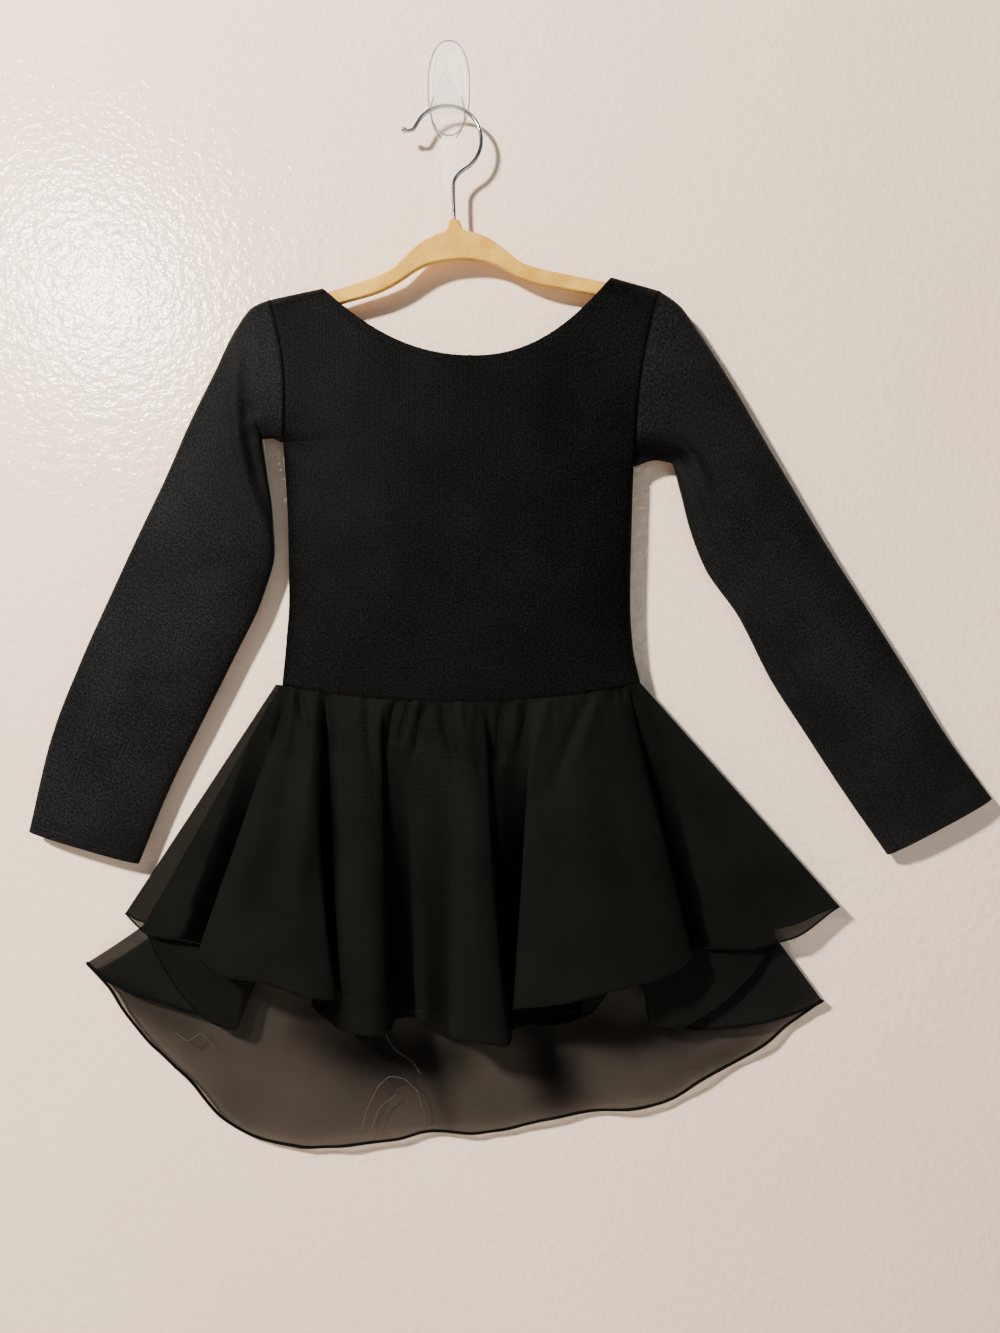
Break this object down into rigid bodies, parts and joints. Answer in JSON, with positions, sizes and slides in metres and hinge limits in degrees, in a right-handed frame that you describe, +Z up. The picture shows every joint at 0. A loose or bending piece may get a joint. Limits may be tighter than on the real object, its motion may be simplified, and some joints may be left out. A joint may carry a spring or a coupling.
{
  "type": "skirted leotard on a hanger and a wall hook",
  "caption": "Long-sleeved scoop-neck leotard with a layered sheer skirt, longer at the back, on a flocked hanger that hangs from a clear wall hook.",
  "frame": {"origin": "middle of the wall hook's adhesive face, on the wall", "axes": "+Z up, +X to the viewer's right, the garment's front faces -Y and the wall is the plane y = 0"},
  "size_m": [0.7195, 0.05, 0.831],
  "materials": {
    "black_jersey": "matte",
    "black_chiffon": "sheer matte",
    "beige_flock": "flocked",
    "chrome_wire": "polished",
    "clear_plastic": "clear"
  },
  "bodies": {
    "root": {"bodice_front": "black_jersey", "bodice_back": "black_jersey", "sleeve_left": "black_jersey", "sleeve_right": "black_jersey", "brief_front": "black_jersey", "brief_back": "black_jersey", "skirt_outer_front": "black_chiffon", "skirt_outer_back": "black_chiffon", "skirt_under_front": "black_chiffon", "skirt_under_back": "black_chiffon", "hanger_body": "beige_flock", "hanger_hook": "chrome_wire", "wall_hook": "clear_plastic", "adhesive_strip": "clear_plastic"}
  },
  "joints": []
}
